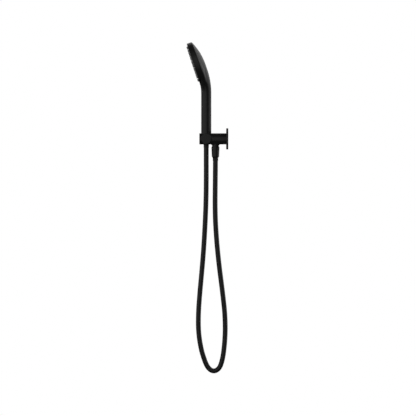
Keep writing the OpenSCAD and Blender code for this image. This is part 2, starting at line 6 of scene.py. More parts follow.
import bpy
import numpy as np
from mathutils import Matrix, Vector


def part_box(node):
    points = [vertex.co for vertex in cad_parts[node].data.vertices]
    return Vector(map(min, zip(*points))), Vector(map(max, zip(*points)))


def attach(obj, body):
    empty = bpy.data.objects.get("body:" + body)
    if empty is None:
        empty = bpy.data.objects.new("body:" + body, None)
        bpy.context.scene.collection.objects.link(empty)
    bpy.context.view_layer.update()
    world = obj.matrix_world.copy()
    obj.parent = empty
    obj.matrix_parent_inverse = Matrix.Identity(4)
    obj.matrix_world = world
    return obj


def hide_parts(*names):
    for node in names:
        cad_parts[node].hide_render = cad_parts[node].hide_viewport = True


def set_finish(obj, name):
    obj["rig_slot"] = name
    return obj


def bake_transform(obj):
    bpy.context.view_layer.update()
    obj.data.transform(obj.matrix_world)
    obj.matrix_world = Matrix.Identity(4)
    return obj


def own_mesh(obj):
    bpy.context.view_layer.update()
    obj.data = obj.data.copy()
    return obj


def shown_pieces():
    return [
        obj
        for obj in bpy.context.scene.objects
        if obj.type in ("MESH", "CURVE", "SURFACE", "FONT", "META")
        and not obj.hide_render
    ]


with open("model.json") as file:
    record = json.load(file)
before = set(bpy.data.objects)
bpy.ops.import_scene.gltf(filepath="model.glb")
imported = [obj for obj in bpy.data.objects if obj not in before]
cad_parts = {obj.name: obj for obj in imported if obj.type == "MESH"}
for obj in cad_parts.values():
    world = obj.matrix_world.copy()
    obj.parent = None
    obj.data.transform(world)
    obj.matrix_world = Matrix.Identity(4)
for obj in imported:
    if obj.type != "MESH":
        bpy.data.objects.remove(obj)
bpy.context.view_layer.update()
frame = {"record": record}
MM = 0.001
scene = bpy.context.scene

# ---------------------------------------------------------------- camera

VIEW_Y, VIEW_Z = -0.057, -0.195   # the middle of the view, in metres
VIEW_WIDTH = 1.173                # what the view spans there
LENS, SENSOR = 200.0, 36.0

camera = bpy.data.objects.new("camera", bpy.data.cameras.new("camera"))
scene.collection.objects.link(camera)
camera.data.lens = LENS
camera.data.sensor_width = SENSOR
camera.data.clip_end = 60
camera.location = (VIEW_WIDTH * LENS / SENSOR, VIEW_Y, VIEW_Z)
camera.rotation_euler = (math.pi / 2, 0, math.pi / 2)
scene.camera = camera

# ---------------------------------------------------------------- mesh helpers


def new_object(name, verts, faces, smooth_angle=35):
    """A mesh object from points in millimetres, shaded smooth up to an angle in degrees."""
    mesh = bpy.data.meshes.new(name)
    mesh.from_pydata((np.asarray(verts, float) * MM).tolist(), [], [list(map(int, f)) for f in faces])
    mesh.validate()
    mesh.shade_smooth()
    mesh.set_sharp_from_angle(angle=math.radians(smooth_angle))
    obj = bpy.data.objects.new(name, mesh)
    scene.collection.objects.link(obj)
    return obj


def place(points, frame_axes):
    """Points in a local frame (origin, x, y, z) to the row frame."""
    origin, ax, ay, az = frame_axes
    p = np.asarray(points, float)
    return origin + p[:, :1] * ax + p[:, 1:2] * ay + p[:, 2:3] * az


def rounded(corners, n):
    """A closed outline of (r, h) from corners (r, h, radius).

    Each corner with a radius becomes an arc of n steps.
    """
    out = []
    count = len(corners)
    for i in range(count):
        a = np.array(corners[i - 1][:2], float)
        b = np.array(corners[i][:2], float)
        c = np.array(corners[(i + 1) % count][:2], float)
        radius = corners[i][2] if len(corners[i]) > 2 else 0
        if radius <= 0:
            out.append(tuple(b))
            continue
        u, v = (a - b) / np.linalg.norm(a - b), (c - b) / np.linalg.norm(c - b)
        half = math.acos(max(-1, min(1, float(u @ v)))) / 2
        reach = radius / math.tan(half)
        centre = b + (u + v) / np.linalg.norm(u + v) * radius / math.sin(half)
        p, q = b + u * reach - centre, b + v * reach - centre
        start = math.atan2(p[1], p[0])
        turn = (math.atan2(q[1], q[0]) - start + math.pi) % (2 * math.pi) - math.pi
        for k in range(n + 1):
            t = start + turn * k / n
            out.append((centre[0] + radius * math.cos(t), centre[1] + radius * math.sin(t)))
    return out


def lathe_mesh(outline, segments):
    """Points and faces of a closed outline of (r, h) turned around +Z.

    Each outline point with r = 0 becomes a single point.
    """
    verts, faces, rows = [], [], []
    for r, h in outline:
        if r < 1e-6:
            rows.append([len(verts)] * segments)
            verts.append((0, 0, h))
        else:
            rows.append(list(range(len(verts), len(verts) + segments)))
            for k in range(segments):
                t = 2 * math.pi * k / segments
                verts.append((r * math.cos(t), r * math.sin(t), h))
    for i in range(len(rows)):
        lower, upper = rows[i], rows[(i + 1) % len(rows)]
        for k in range(segments):
            m = (k + 1) % segments
            quad = []
            for index in (lower[k], lower[m], upper[m], upper[k]):
                if index not in quad:
                    quad.append(index)
            if len(quad) > 2:
                faces.append(quad)
    return np.array(verts, float), faces


def signed_area(outline):
    """Area inside the outline, positive when it runs anticlockwise."""
    r, h = np.array(outline, float).T
    return 0.5 * float(np.sum(r * np.roll(h, -1) - np.roll(r, -1) * h))


def turned(name, outline, axes, segments, smooth_angle=35):
    """A lathe-made piece in a local frame, with its faces looking outwards."""
    if signed_area(outline) < 0:
        outline = outline[::-1]
    verts, faces = lathe_mesh(outline, segments)
    return new_object(name, place(verts, axes), faces, smooth_angle)


def repeated(outline, places, segments):
    """Points and faces of one turned outline set down at each place."""
    if signed_area(outline) < 0:
        outline = outline[::-1]
    verts, faces = lathe_mesh(outline, segments)
    all_verts, all_faces = [], []
    for k, spot in enumerate(places):
        all_verts.append(verts + np.array(spot))
        all_faces += [[i + k * len(verts) for i in f] for f in faces]
    return np.concatenate(all_verts), all_faces


SLAB = 24            # rows of the grid whose values are found at once
PROBE = 0.01         # half the step that slopes are measured over
PULL_TO_MEAN = 0.02  # holds a cell's point near its crossings where the surface is flat


def dual_contour(field, low, high, step):
    """Points and quads of the surface where field(points) is 0, with its sharp edges kept.

    The field is negative inside. Each grid cell that the surface passes through gets one point,
    which lies as near as it can to the planes that touch the surface at the cell's edges.
    """
    axes = [np.arange(low[i], high[i] + step, step) for i in range(3)]
    shape = tuple(len(a) for a in axes)
    values = np.empty(shape)
    for i in range(0, shape[0], SLAB):
        grid = np.meshgrid(axes[0][i:i + SLAB], axes[1], axes[2], indexing="ij")
        values[i:i + SLAB] = field(np.stack(grid, -1).reshape(-1, 3)).reshape(grid[0].shape)
    inside = values < 0
    origin = np.array([a[0] for a in axes])
    cells, crossings, normals, flips = [], [], [], []
    for axis in range(3):
        first = [slice(None)] * 3
        second = [slice(None)] * 3
        first[axis], second[axis] = slice(0, -1), slice(1, None)
        changed = np.argwhere(inside[tuple(first)] != inside[tuple(second)])
        others = [a for a in range(3) if a != axis]
        last = np.array(shape)[others] - 1
        changed = changed[np.all((changed[:, others] > 0) & (changed[:, others] < last), axis=1)]
        ahead = changed.copy()
        ahead[:, axis] += 1
        fa, fb = values[tuple(changed.T)], values[tuple(ahead.T)]
        a, b = origin + changed * step, origin + ahead * step
        ta, tb = np.zeros(len(a)), np.ones(len(a))
        for _ in range(4):   # closes in on the crossing from both ends
            t = ta + (tb - ta) * np.clip(fa / (fa - fb), 0.02, 0.98)
            ft = field(a + (b - a) * t[:, None])
            low_side = (ft < 0) == (fa < 0)
            ta, fa = np.where(low_side, t, ta), np.where(low_side, ft, fa)
            tb, fb = np.where(low_side, tb, t), np.where(low_side, fb, ft)
        p = a + (b - a) * (ta + (tb - ta) * fa / (fa - fb))[:, None]
        normal = np.stack([field(p + d) - field(p - d) for d in PROBE * np.eye(3)], -1)
        normal /= np.maximum(np.linalg.norm(normal, axis=1), 1e-12)[:, None]
        around = []
        for du, dv in ((-1, -1), (0, -1), (0, 0), (-1, 0)):
            cell = changed.copy()
            cell[:, others[0]] += du
            cell[:, others[1]] += dv
            around.append(np.ravel_multi_index(tuple(cell.T), shape))
        around = np.stack(around, -1)
        cells.append(around)
        crossings.append(p)
        normals.append(normal)
        starts_inside = inside[tuple(changed.T)]
        flips.append(starts_inside if axis != 1 else ~starts_inside)
    cells, p, n = np.concatenate(cells), np.concatenate(crossings), np.concatenate(normals)
    flips = np.concatenate(flips)
    used, where = np.unique(cells.ravel(), return_inverse=True)
    where = where.reshape(cells.shape)
    total = len(used)
    count = np.bincount(where.ravel(), minlength=total)

    def gathered(rows_of):
        return sum(np.bincount(where[:, k], weights=rows_of, minlength=total) for k in range(4))

    mean = np.stack([gathered(p[:, k]) for k in range(3)], -1) / count[:, None]
    ata = np.empty((total, 3, 3))
    for i in range(3):
        for j in range(3):
            ata[:, i, j] = gathered(n[:, i] * n[:, j])
    offset = np.sum(n * p, axis=1)
    atb = np.stack([gathered(n[:, k] * offset) for k in range(3)], -1)
    right = atb - np.einsum("nij,nj->ni", ata, mean)
    weight = PULL_TO_MEAN * count[:, None, None] * np.eye(3)
    moved = mean + np.linalg.solve(ata + weight, right[..., None])[..., 0]
    corner = origin + np.stack(np.unravel_index(used, shape), -1) * step
    moved = np.clip(moved, corner, corner + step)
    quads = np.where(flips[:, None], where, where[:, ::-1])
    return moved, quads


def contoured(name, field, low, high, step, smooth_angle=32):
    verts, quads = dual_contour(field, low, high, step)
    return new_object(name, verts, quads, smooth_angle)


# Ways to join distance fields, with a round of radius r where the surfaces meet


def union_round(a, b, r):
    reach = np.hypot(np.maximum(r - a, 0), np.maximum(r - b, 0))
    return np.maximum(r, np.minimum(a, b)) - reach


def meet_round(a, b, r):
    reach = np.hypot(np.maximum(r + a, 0), np.maximum(r + b, 0))
    return np.minimum(-r, np.maximum(a, b)) + reach


def cut_round(a, b, r):
    return meet_round(a, -b, r)


def smoothstep(t):
    t = np.clip(t, 0, 1)
    return t * t * (3 - 2 * t)


# ---------------------------------------------------------------- dimensions shared with the CAD

X_AXIS, Y_AXIS, Z_AXIS = np.eye(3)
SEAT_Y, OUTLET_Y = -62.0, -36.0
ARM_R, ARM_REACH = 15.75, 81.4
HANDLE_R, HANDLE_Z, BEND_Z, BEND_R = 14.3, 12.0, 129.0, 190.0
HEAD_TILT = math.radians(18.4)
HEAD_R, NECK_W, ELBOW_V = 60.0, 18.3, 44.7
PLATE_R = 55.5
SHELL_WALL = 2.5

# the CAD's handle bends in two steps, at its elbows, and the head's centre follows from them
elbow_reach = BEND_R * math.tan(HEAD_TILT / 4)
elbow_1_z = BEND_Z + elbow_reach
elbow_2_y = SEAT_Y - 2 * elbow_reach * math.sin(HEAD_TILT / 2)
elbow_2_z = elbow_1_z + 2 * elbow_reach * math.cos(HEAD_TILT / 2)
SIN, COS = math.sin(HEAD_TILT), math.cos(HEAD_TILT)
HEAD_Y = elbow_2_y - ELBOW_V * SIN - NECK_W * COS
HEAD_Z = elbow_2_z + ELBOW_V * COS - NECK_W * SIN
HEAD_O = np.array([0, HEAD_Y, HEAD_Z])
HEAD_V = np.array([0, SIN, -COS])
HEAD_W = np.array([0, COS, SIN])

# local frames: an origin and three axes
FROM_WALL = (np.zeros(3), X_AXIS, Z_AXIS, -Y_AXIS)
ON_SEAT = (np.array([0, SEAT_Y, 0]), X_AXIS, Y_AXIS, Z_AXIS)
ON_OUTLET = (np.array([0, OUTLET_Y, 0]), X_AXIS, Y_AXIS, Z_AXIS)
ON_HEAD = (HEAD_O, X_AXIS, HEAD_V, HEAD_W)

# ---------------------------------------------------------------- hose

HOSE_D = 0.014
HOSE_LENGTH = 1.25
HOSE_TOP_Z, HOSE_END_Z = -0.025, -0.062   # where the hose leaves the handset's ferrule and meets the outlet's
HOSE_ROUTE = [  # (y, z) in metres, from the handset's ferrule to the outlet's
    (-0.062, HOSE_TOP_Z), (-0.062, -0.060), (-0.062, -0.120), (-0.063, -0.185), (-0.066, -0.255),
    (-0.070, -0.320), (-0.075, -0.380), (-0.080, -0.435), (-0.0835, -0.485), (-0.084, -0.530),
    (-0.081, -0.565), (-0.075, -0.597), (-0.069, -0.617), (-0.064, -0.631), (-0.058, -0.643),
    (-0.050, -0.6515), (-0.0405, -0.655), (-0.031, -0.6515), (-0.0235, -0.643), (-0.019, -0.631),
    (-0.0155, -0.617), (-0.0125, -0.597), (-0.0095, -0.565), (-0.0085, -0.530), (-0.010, -0.490),
    (-0.0135, -0.455), (-0.018, -0.417), (-0.024, -0.370), (-0.029, -0.325), (-0.033, -0.280),
    (-0.036, -0.230), (-0.037, -0.180), (-0.0365, -0.120), (-0.036, HOSE_END_Z),
]
HOSE_RING = 0.003    # distance between rings of the tube
HOSE_SIDES = 36
HOSE_EASE = 0.004    # the route is smoothed over about this length
EASE_RINGS = 10      # rings each way that the smoothing looks at
ROUTE_STEPS = 24     # points of the curve between two points of the route
LEAD_IN, LEAD_OUT = 0.035, 0.058   # straight run-ups that make both ends of the curve upright


def hose_line():
    """Evenly spaced (y, z) along a smooth curve through the route, and each one's share of the way."""
    route = np.array(HOSE_ROUTE)
    padded = np.vstack([route[0] + (0, LEAD_IN), route, route[-1] + (0, LEAD_OUT)])
    fine = []
    for i in range(1, len(padded) - 2):
        a, b, c, d = padded[i - 1:i + 3]
        for t in np.linspace(0, 1, ROUTE_STEPS, endpoint=False):
            fine.append(0.5 * (2 * b + (c - a) * t + (2 * a - 5 * b + 4 * c - d) * t * t
                               + (3 * b - a - 3 * c + d) * t ** 3))
    fine.append(padded[-2])
    fine = np.array(fine)
    along = np.concatenate([[0], np.cumsum(np.linalg.norm(np.diff(fine, axis=0), axis=1))])
    count = int(round(along[-1] / HOSE_RING)) + 1
    even = np.linspace(0, along[-1], count)
    line = np.stack([np.interp(even, along, fine[:, k]) for k in range(2)], -1)
    kernel = np.exp(-0.5 * (np.arange(-EASE_RINGS, EASE_RINGS + 1) * HOSE_RING / HOSE_EASE) ** 2)
    kernel /= kernel.sum()
    before = line[0] + np.outer(np.arange(EASE_RINGS, 0, -1), (0, HOSE_RING))
    after = line[-1] + np.outer(np.arange(1, EASE_RINGS + 1), (0, HOSE_RING))
    longer = np.vstack([before, line, after])
    smooth = np.stack([np.convolve(longer[:, k], kernel, mode="valid") for k in range(2)], -1)
    smooth[0], smooth[-1] = line[0], line[-1]
    return smooth, even / along[-1]


def tube_faces(rings, sides):
    """Faces of a closed tube whose points are given ring by ring."""
    faces = [list(range(sides))]
    for i in range(rings - 1):
        for k in range(sides):
            m = (k + 1) % sides
            faces.append([i * sides + k, (i + 1) * sides + k, (i + 1) * sides + m, i * sides + m])
    faces.append([(rings - 1) * sides + k for k in range(sides - 1, -1, -1)])
    return faces


def make_hose():
    """The hose as a round tube along its line."""
    line, share = hose_line()
    slope = np.gradient(line, axis=0)
    slope[0], slope[-1] = (0, -1), (0, 1)
    slope /= np.linalg.norm(slope, axis=1)[:, None]
    r = HOSE_D / 2
    angles = 2 * np.pi * np.arange(HOSE_SIDES) / HOSE_SIDES
    verts = np.array([
        (r * math.cos(t), y + r * math.sin(t) * uz, z - r * math.sin(t) * uy)
        for (y, z), (uy, uz) in zip(line, slope) for t in angles
    ])
    obj = new_object("hose_tube", verts / MM, tube_faces(len(line), HOSE_SIDES), smooth_angle=60)
    uv = obj.data.uv_layers.new(name="along")
    vertex_of = np.zeros(len(obj.data.loops), np.int32)
    obj.data.loops.foreach_get("vertex_index", vertex_of)
    side = (vertex_of % HOSE_SIDES) / HOSE_SIDES
    carry = np.zeros(len(side))
    for poly in obj.data.polygons:  # the seam's last column runs on to 1 instead of back to 0
        loops = list(poly.loop_indices)
        if len(loops) == 4 and side[loops].max() - side[loops].min() > 0.5:
            for k in loops:
                if side[k] < 0.5:
                    carry[k] = 1
    coords = np.stack([share[vertex_of // HOSE_SIDES], side + carry], -1)
    uv.data.foreach_set("uv", coords.astype(np.float32).ravel())
    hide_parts("hose")
    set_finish(obj, "black_hose")
    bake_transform(obj)


make_hose()

# ---------------------------------------------------------------- handset body

# the head's back is part of a sphere; v runs down the spray face and w from the face to the back
DOME_RISE, RIM_MID, RIM_LEAN = 14.3, 16.25, math.radians(1.67)
DOME_R = (HEAD_R ** 2 + DOME_RISE ** 2) / (2 * DOME_RISE)
DOME_DROP = DOME_R - DOME_RISE
DOME_V, DOME_W = DOME_DROP * math.sin(RIM_LEAN), RIM_MID - DOME_DROP * math.cos(RIM_LEAN)
BAND_FROM = 3.2      # the shell starts this far behind the face
NECK_BLEND = 20.0    # how widely the neck runs into the head's back
CHIN_BLEND = 3.0     # the same at the front, below the face
FLARE_REACH, FLARE_RISE = 30.0, 1.5   # the handle thickens by this much over this way to the head
FAN_R = 60.0         # seen from the front, arcs of this radius join the handle's sides to the head's rim
FAN_V = math.sqrt((HEAD_R + FAN_R) ** 2 - (HANDLE_R + FAN_R) ** 2)   # where the arcs leave the handle
FAN_TOP_V = FAN_V * HEAD_R / (HEAD_R + FAN_R)                         # where they meet the rim
FAN_EASE = 16.0      # the fan stops widening over about this length
NECK_END_V = -20.0   # the handle's axis ends here, inside the dome
BACK_BLEND = 4.0     # how widely the handle's end runs into the dome
SINK_V, SINK = 24.0, 0.0030   # above this v the handle's axis sinks, by SINK times the distance squared
RIM_ROUND = 1.6      # edge between the head's band and its back
RIM_TURN = 12.0      # the outward direction turns from the band's to the dome's over this distance
FACE_W = 0.4         # the form stops this far behind the face's plane
HANDLE_END_ROUND = 0.9
ON_HANDLE_Z = 60.0   # everything below this height is handle
FIT_GAP = 0.05       # room around a piece that sits in another
RECESS_W = 8.5       # the face pieces and the distributor sit in a recess this deep


def head_coords(p):
    """x, v and w of points on the head."""
    q = p - HEAD_O
    return q[:, 0], q @ HEAD_V, q @ HEAD_W


def bar_field(p):
    """Distance to the bent bar, which fans out below the head, and its outward direction."""
    x, y, z = p.T
    _, v, w = head_coords(p)
    fan_length = FAN_V - FAN_TOP_V
    up_the_fan = np.maximum(FAN_V - v, 0)
    ease = np.maximum(FAN_EASE - np.abs(up_the_fan - fan_length), 0) ** 2 / (4 * FAN_EASE)
    up_the_fan = np.minimum(up_the_fan, fan_length) - ease
    squeeze = HANDLE_R / (HANDLE_R + FAN_R - np.sqrt(FAN_R ** 2 - up_the_fan ** 2))
    x = x * squeeze
    straight = np.stack([x, y - SEAT_Y, np.maximum(z - BEND_Z, 0)], -1)
    arc_y, arc_z = y - (SEAT_Y - BEND_R), z - BEND_Z
    turn = np.clip(np.arctan2(arc_z, arc_y), 0, HEAD_TILT)
    bent = np.stack([x, arc_y - BEND_R * np.cos(turn), arc_z - BEND_R * np.sin(turn)], -1)
    near_v = np.clip(v, NECK_END_V, ELBOW_V - elbow_reach)
    axis_w = NECK_W - SINK * np.maximum(SINK_V - near_v, 0) ** 2
    level = x[:, None] * X_AXIS + (v - near_v)[:, None] * HEAD_V
    level = level + (w - axis_w)[:, None] * HEAD_W
    all_three = np.stack([straight, bent, level], 0)
    far = np.linalg.norm(all_three, axis=2)
    pick = np.argmin(far, axis=0)
    index = np.arange(len(p))
    outward = all_three[pick, index]
    outward[:, 0] *= squeeze
    outward /= np.maximum(np.linalg.norm(outward, axis=1), 1e-9)[:, None]
    return far[pick, index] - HANDLE_R, outward


def head_field(p):
    """Distance to the head's band and dome, its outward direction, and v and w."""
    x, v, w = head_coords(p)
    r = np.hypot(x, v)
    band = r - HEAD_R
    to_dome = np.stack([x, v - DOME_V, w - DOME_W], -1)
    far = np.linalg.norm(to_dome, axis=1)
    dome = far - DOME_R
    share = smoothstep(0.5 + (dome - band) / RIM_TURN)[:, None]
    outward = (1 - share) * np.stack([x, v, 0 * x], -1) / np.maximum(r, 1e-9)[:, None]
    outward = outward + share * to_dome / far[:, None]
    outward /= np.maximum(np.linalg.norm(outward, axis=1), 1e-9)[:, None]
    outward = outward[:, :1] * X_AXIS + outward[:, 1:2] * HEAD_V + outward[:, 2:] * HEAD_W
    return meet_round(band, dome, RIM_ROUND), outward, v, w


def handset_form(p):
    """Outside of the handset before its ends are cut: the head and the bent handle, run together."""
    bar, bar_out = bar_field(p)
    head, head_out, v, w = head_field(p)
    head = np.maximum(head, FACE_W - w)
    crossing = 1 - np.clip(np.sum(bar_out * head_out, axis=1), 0, 1)
    bar = bar - crossing * FLARE_RISE * np.clip(1 - head / FLARE_REACH, 0, 1) ** 2
    reach = CHIN_BLEND + (NECK_BLEND - CHIN_BLEND) * smoothstep((w - 2) / 14)
    k = np.maximum(reach * crossing, BACK_BLEND * smoothstep((40 - v) / 30) + 0.01)
    overlap = np.maximum(k - np.abs(bar - head), 0)
    return np.minimum(bar, head) - overlap ** 2 / (4 * k)


def handset_field(p):
    """The hollow shell, open at the handle's lower end and at the spray face."""
    x, v, w = head_coords(p)
    r = np.hypot(x, v)
    form = handset_form(p)
    on_handle = p[:, 2] < ON_HANDLE_Z
    outside = np.where(on_handle, meet_round(form, HANDLE_Z - p[:, 2], HANDLE_END_ROUND), form)
    shell = np.maximum(outside, -(form + SHELL_WALL))
    shell = np.maximum(shell, -np.maximum(r - (HEAD_R + FIT_GAP), w - BAND_FROM))
    return np.maximum(shell, -np.maximum(r - (HEAD_R - SHELL_WALL), w - RECESS_W))


handset_body = contoured("handset_body", handset_field, (-62, -160, 10), (62, -44, 275), step=1.3)
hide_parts("handset_shell")
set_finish(handset_body, "black_shell")
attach(handset_body, "handset")

# four posts inside the shell take the distributor's screws
POST_OUT = 44.0
POST_TURNS = [math.radians(t) for t in (45, 135, 225, 315)]
post_places = [(POST_OUT * math.cos(t), POST_OUT * math.sin(t), 0) for t in POST_TURNS]
post_outline = rounded([(1.3, 8.5), (3.4, 8.5, 0.3), (3.4, 20.2), (1.3, 20.2)], 5)
post_verts, post_faces = repeated(post_outline, post_places, 40)
shell_posts = new_object("shell_posts", place(post_verts, ON_HEAD), post_faces)
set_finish(shell_posts, "black_shell")
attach(shell_posts, "handset")

# ---------------------------------------------------------------- spray face

SPIGOT_R = HEAD_R - SHELL_WALL - 0.1   # the face ring's back fits inside the shell

ring_outline = rounded([
    (PLATE_R + FIT_GAP, 0, 0.35), (HEAD_R, 0, 1.2), (HEAD_R, 3.0, 0.2), (SPIGOT_R, 3.0),
    (SPIGOT_R, 7.0, 0.3), (PLATE_R + FIT_GAP, 7.0),
], 8)
face_rim = turned("face_rim", ring_outline, ON_HEAD, 192)
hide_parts("face_ring")
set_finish(face_rim, "black_shell")
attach(face_rim, "handset")

NOZZLE_RINGS = 5
NOZZLE_STEP, NOZZLE_TWIST = 10.0, 6.5   # ring n lies n steps out and is turned n times the twist
NOZZLE_TIP = -3.5                       # the nozzles stand this far out of the face
MAT_IN_R, MAT_OUT_R, MAT_FRONT, MAT_BACK = 5.6, 54.5, 2.55, 4.5


def nozzle_places():
    """The nozzles' centres: six times n of them on ring n."""
    places = []
    for n in range(1, NOZZLE_RINGS + 1):
        for i in range(6 * n):
            t = math.radians(NOZZLE_TWIST * n + 60 * i / n)
            places.append((NOZZLE_STEP * n * math.cos(t), NOZZLE_STEP * n * math.sin(t), 0))
    return places


nozzle_outline = rounded([
    (0, -0.8), (0.55, -0.8), (0.55, NOZZLE_TIP, 0.15), (1.3, NOZZLE_TIP, 0.4), (1.62, -0.2, 0.3),
    (1.9, 0.3, 0.3), (1.9, 2.7), (0, 2.7),
], 4)
nozzle_verts, nozzle_faces = repeated(nozzle_outline, nozzle_places(), 24)
mat_outline = [(MAT_IN_R, MAT_FRONT), (MAT_OUT_R, MAT_FRONT), (MAT_OUT_R, MAT_BACK), (MAT_IN_R, MAT_BACK)]
mat_verts, mat_faces = lathe_mesh(mat_outline, 128)
mat_faces = [[i + len(nozzle_verts) for i in f] for f in mat_faces]
mat_and_nozzles = np.concatenate([nozzle_verts, mat_verts])
nozzles = new_object("nozzles", place(mat_and_nozzles, ON_HEAD), nozzle_faces + mat_faces)
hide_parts("nozzle_mat")
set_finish(nozzles, "nozzle_silicone")
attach(nozzles, "handset")

collar_outline = rounded([
    (2.0, 0.2), (2.0, -0.45, 0.12), (2.55, -0.45, 0.3), (3.1, 0.02, 0.1), (3.1, 0.2),
], 4)
collar_verts, collar_faces = repeated(collar_outline, nozzle_places(), 28)
collars = new_object("nozzle_collars", place(collar_verts, ON_HEAD), collar_faces)
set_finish(collars, "black_shell")
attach(collars, "handset")

cap_outline = rounded([
    (0, 1.3), (5.0, 1.3), (5.0, -0.22, 0.45), (3.9, -0.3), (3.75, -0.12, 0.08), (3.45, -0.12, 0.08),
    (3.3, -0.33, 0.1), (0, -0.42),
], 4)
cap = turned("centre_button", cap_outline, ON_HEAD, 64)
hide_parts("centre_cap")
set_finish(cap, "black_shell")
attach(cap, "handset")

# ---------------------------------------------------------------- wall bracket

NUT_TOP_R, NUT_END_R, NUT_END_Z = 11.4, 10.2, -16.0
BOSS_R, BOSS_HALF = 14.6, 19.5
NECK_R, NECK_END_Z = 9.5, -20.0
POCKET_R, POCKET_Z = 14.6, 11.7
LINER_OUT = 1.85     # the liner's outside stands this far off the handset's nut
INSERT_R = 11.8
ARM_END_ROUND, BOSS_ROUND, SEAT_ROUND = 1.6, 0.8, 0.35   # outside edges
BOSS_FILLET, NECK_FILLET = 0.7, 4.6                      # inside corners on the arm
NECK_AREA_R = 24.0   # the neck's fillet reaches no further than this from the outlet's axis
SOCKET_END_Y = -20.5
WATERWAY_R, WATERWAY_MID_Y, WATERWAY_HALF = 6.5, -31.0, 11.5
RISER_MID_Z, RISER_HALF = -5.0, 5.0
OUTLET_BORE_R, OUTLET_BORE_TOP_Z = 8.05, -9.0
GRUB_R, GRUB_Y = 2.05, -4.0


def seat_r(z):
    """Radius of the handset's conical nut at a height."""
    return NUT_END_R + (NUT_TOP_R - NUT_END_R) * (z - NUT_END_Z) / (HANDLE_Z - NUT_END_Z)


def bracket_field(p):
    """The arm with its cross boss and outlet neck, less its waterway, sockets and the handset's seat."""
    x, y, z = p.T
    from_axis = np.hypot(x, z)
    arm = np.maximum(meet_round(from_axis - ARM_R, -y - ARM_REACH, ARM_END_ROUND), y)
    boss = meet_round(np.hypot(y - SEAT_Y, z) - BOSS_R, np.abs(x) - BOSS_HALF, BOSS_ROUND)
    solid = union_round(arm, boss, BOSS_FILLET)
    below = np.hypot(x, y - OUTLET_Y)
    with_neck = union_round(solid, np.maximum(below - NECK_R, z), NECK_FILLET)
    solid = np.where(below < NECK_AREA_R, with_neck, solid)
    solid = np.maximum(solid, NECK_END_Z - z)
    socket = np.maximum(from_axis - (INSERT_R + FIT_GAP), SOCKET_END_Y - y)
    waterway = np.maximum(from_axis - WATERWAY_R, np.abs(y - WATERWAY_MID_Y) - WATERWAY_HALF)
    outlet = np.maximum(below - OUTLET_BORE_R, z - OUTLET_BORE_TOP_Z)
    riser = np.maximum(below - WATERWAY_R, np.abs(z - RISER_MID_Z) - RISER_HALF)
    grub = np.maximum(np.hypot(x, y - GRUB_Y) - GRUB_R, z)
    for hole in (socket, waterway, outlet, riser, grub):
        solid = np.maximum(solid, -hole)
    from_seat = np.hypot(x, y - SEAT_Y)
    pocket = np.maximum(from_seat - POCKET_R, POCKET_Z - z)
    cone = from_seat - (seat_r(z) + LINER_OUT)
    solid = cut_round(solid, pocket, SEAT_ROUND)
    return cut_round(solid, cone, SEAT_ROUND)


bracket_body = contoured("bracket_body", bracket_field, (-21, -83, -21.5), (21, 1.2, 17.5), step=0.62)
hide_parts("bracket_arm")
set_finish(bracket_body, "matte_black_paint")
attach(bracket_body, "wall_bracket")

FLANGE_R, FLANGE_T, FLANGE_BORE_R = 30, 5.7, ARM_R + 0.1
GASKET_IN_R, GASKET_OUT_R, GASKET_DEPTH = 20.95, 27.05, 1.2

flange_outline = rounded([
    (FLANGE_BORE_R, 0), (GASKET_IN_R, 0), (GASKET_IN_R, GASKET_DEPTH), (GASKET_OUT_R, GASKET_DEPTH),
    (GASKET_OUT_R, 0), (FLANGE_R, 0, 0.4), (FLANGE_R, FLANGE_T, 1.5), (FLANGE_BORE_R, FLANGE_T, 0.3),
], 10)
flange_disc = turned("flange_disc", flange_outline, FROM_WALL, 192)
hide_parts("wall_flange")
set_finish(flange_disc, "matte_black_paint")
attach(flange_disc, "wall_bracket")

INLET_R, THREAD_DEPTH, THREAD_PITCH, INLET_LEN = 9.32, 1.0, 1.814, 12.4
INSERT_HALF, INSERT_BORE_R = 10.0, 5.5
LEAD = 1.2           # the thread fades out, and the mouth opens, over this length
STRAINER_R, STRAINER_MID_Y, STRAINER_HALF = 9.55, -(INLET_LEN + 0.75), 0.8
GROOVES_Y, GROOVE_DEPTH, GROOVE_HALF = (-10, -16), 1.3, 1.2
GRUB_GROOVE_DEPTH, GRUB_GROOVE_HALF = 0.8, 1.95


def insert_field(p):
    """The brass insert with its inside pipe thread, in the row frame: its mouth is at y = 0."""
    x, y, z = p.T
    r = np.hypot(x, z)
    phase = (y / THREAD_PITCH - np.arctan2(z, x) / (2 * math.pi)) % 1.0
    valley = np.clip(1.5 - 4 * np.abs(phase - 0.5), 0, 1)
    fade = np.clip((y + INLET_LEN) / LEAD, 0, 1)
    mouth = np.maximum(y + LEAD, 0)
    bore_r = np.maximum(INLET_R + THREAD_DEPTH * valley * fade, INLET_R + mouth)
    bore = np.maximum(r - bore_r, -INLET_LEN - y)
    solid = np.maximum(r - INSERT_R, np.abs(y + INSERT_HALF) - INSERT_HALF)
    seat = np.maximum(r - STRAINER_R, np.abs(y - STRAINER_MID_Y) - STRAINER_HALF)
    solid = np.maximum(np.maximum(solid, -bore), np.maximum(INSERT_BORE_R - r, -seat))
    for at in GROOVES_Y:
        solid = np.maximum(solid, -np.maximum(INSERT_R - GROOVE_DEPTH - r, np.abs(y - at) - GROOVE_HALF))
    grub_groove = np.maximum(INSERT_R - GRUB_GROOVE_DEPTH - r, np.abs(y - GRUB_Y) - GRUB_GROOVE_HALF)
    return np.maximum(solid, -grub_groove)


inlet_thread = contoured("inlet_thread", insert_field, (-12.4, -21, -12.4), (12.4, 0.9, 12.4),
                         step=0.36, smooth_angle=40)
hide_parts("inlet_insert")
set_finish(inlet_thread, "turned_brass")
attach(inlet_thread, "wall_bracket")

# ---------------------------------------------------------------- hose fittings

